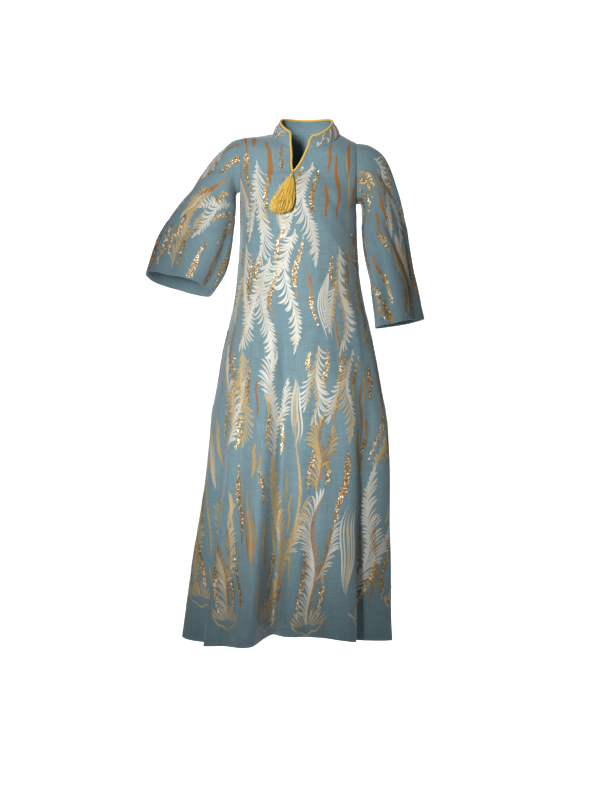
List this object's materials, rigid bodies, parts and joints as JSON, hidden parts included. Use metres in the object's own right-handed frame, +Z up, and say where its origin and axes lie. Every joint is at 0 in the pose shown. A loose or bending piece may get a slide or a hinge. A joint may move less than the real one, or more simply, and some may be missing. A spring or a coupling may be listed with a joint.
{
  "type": "kaftan",
  "caption": "Full-length loose kaftan in its worn form, with a stand collar, a corded front notch with a tassel, and bell sleeves.",
  "frame": {"origin": "centre of the base of the wearer's neck, inside the collar", "axes": "+Z up along the worn garment, the front faces -Y, +X is towards the wearer's left sleeve"},
  "size_m": [0.7018, 0.4464, 1.3009],
  "materials": {
    "embroidered_cloth": "matt slubby plain weave with satin-stitch and sequin embroidery",
    "yellow_cord": "soft lustrous twisted thread"
  },
  "bodies": {
    "root": {"body_front": "embroidered_cloth", "body_back": "embroidered_cloth", "sleeve_right": "embroidered_cloth", "sleeve_left": "embroidered_cloth", "collar": "embroidered_cloth", "neck_piping": "yellow_cord", "tassel": "yellow_cord"}
  },
  "joints": []
}
